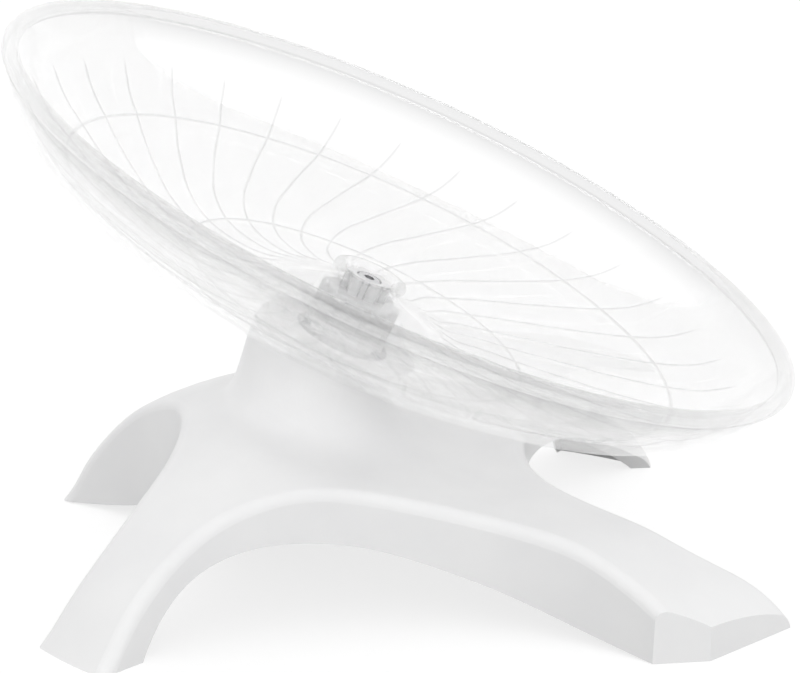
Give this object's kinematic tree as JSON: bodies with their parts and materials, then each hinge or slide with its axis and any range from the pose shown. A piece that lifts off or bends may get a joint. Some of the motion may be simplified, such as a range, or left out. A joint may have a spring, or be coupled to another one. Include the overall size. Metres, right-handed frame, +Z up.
{
  "type": "flying saucer wheel",
  "caption": "Running dish for a small pet: clear shallow bowl with raised tread ribs, tilted on ball bearings over a white four-legged stand.",
  "frame": {"origin": "on the floor under the middle of the whole wheel", "axes": "+Z up, +X towards the low side of the tilted dish, +Y across the tilt"},
  "size_m": [0.1649, 0.18, 0.1165],
  "materials": {
    "clear_plastic": "clear polished polycarbonate",
    "white_plastic": "satin moulded ABS",
    "grey_plastic": "satin moulded nylon",
    "ball_steel": "polished",
    "cage_plastic": "moulded",
    "bearing_steel": "ground",
    "plain_steel": "turned",
    "plated_steel": "zinc plated"
  },
  "bodies": {
    "stand": {"base_shell": "white_plastic", "bearing_cover": "white_plastic", "cover_screws": "plated_steel", "outer_spacer": "plain_steel", "upper_bearing_outer_ring": "bearing_steel", "lower_bearing_outer_ring": "bearing_steel", "upper_bearing_shields": "bearing_steel", "lower_bearing_shields": "bearing_steel"},
    "dish": {"running_dish": "clear_plastic", "lobed_hub": "grey_plastic", "hub_screw": "plain_steel", "spindle": "plain_steel", "hub_washer": "plain_steel", "spindle_washer": "plain_steel", "retaining_ring": "plain_steel", "inner_spacer": "plain_steel", "upper_bearing_inner_ring": "bearing_steel", "lower_bearing_inner_ring": "bearing_steel"},
    "upper_cage": {"upper_bearing_cage": "cage_plastic", "upper_bearing_balls": "ball_steel"},
    "lower_cage": {"lower_bearing_cage": "cage_plastic", "lower_bearing_balls": "ball_steel"}
  },
  "joints": [
    {"name": "dish_spin", "type": "hinge", "parent": "stand", "child": "dish", "pos_m": [-0.00026, 0, 0.08014], "axis": [0.4099, 0, 0.9121], "continuous": true},
    {"name": "upper_cage_spin", "type": "hinge", "parent": "stand", "child": "upper_cage", "pos_m": [-0.00026, 0, 0.08014], "axis": [0.4099, 0, 0.9121], "continuous": true},
    {"name": "lower_cage_spin", "type": "hinge", "parent": "stand", "child": "lower_cage", "pos_m": [-0.00026, 0, 0.08014], "axis": [0.4099, 0, 0.9121], "continuous": true}
  ],
  "couplings": [
    {"joint": "upper_cage_spin", "follows": "dish_spin", "ratio": 0.37235},
    {"joint": "lower_cage_spin", "follows": "dish_spin", "ratio": 0.37235}
  ]
}
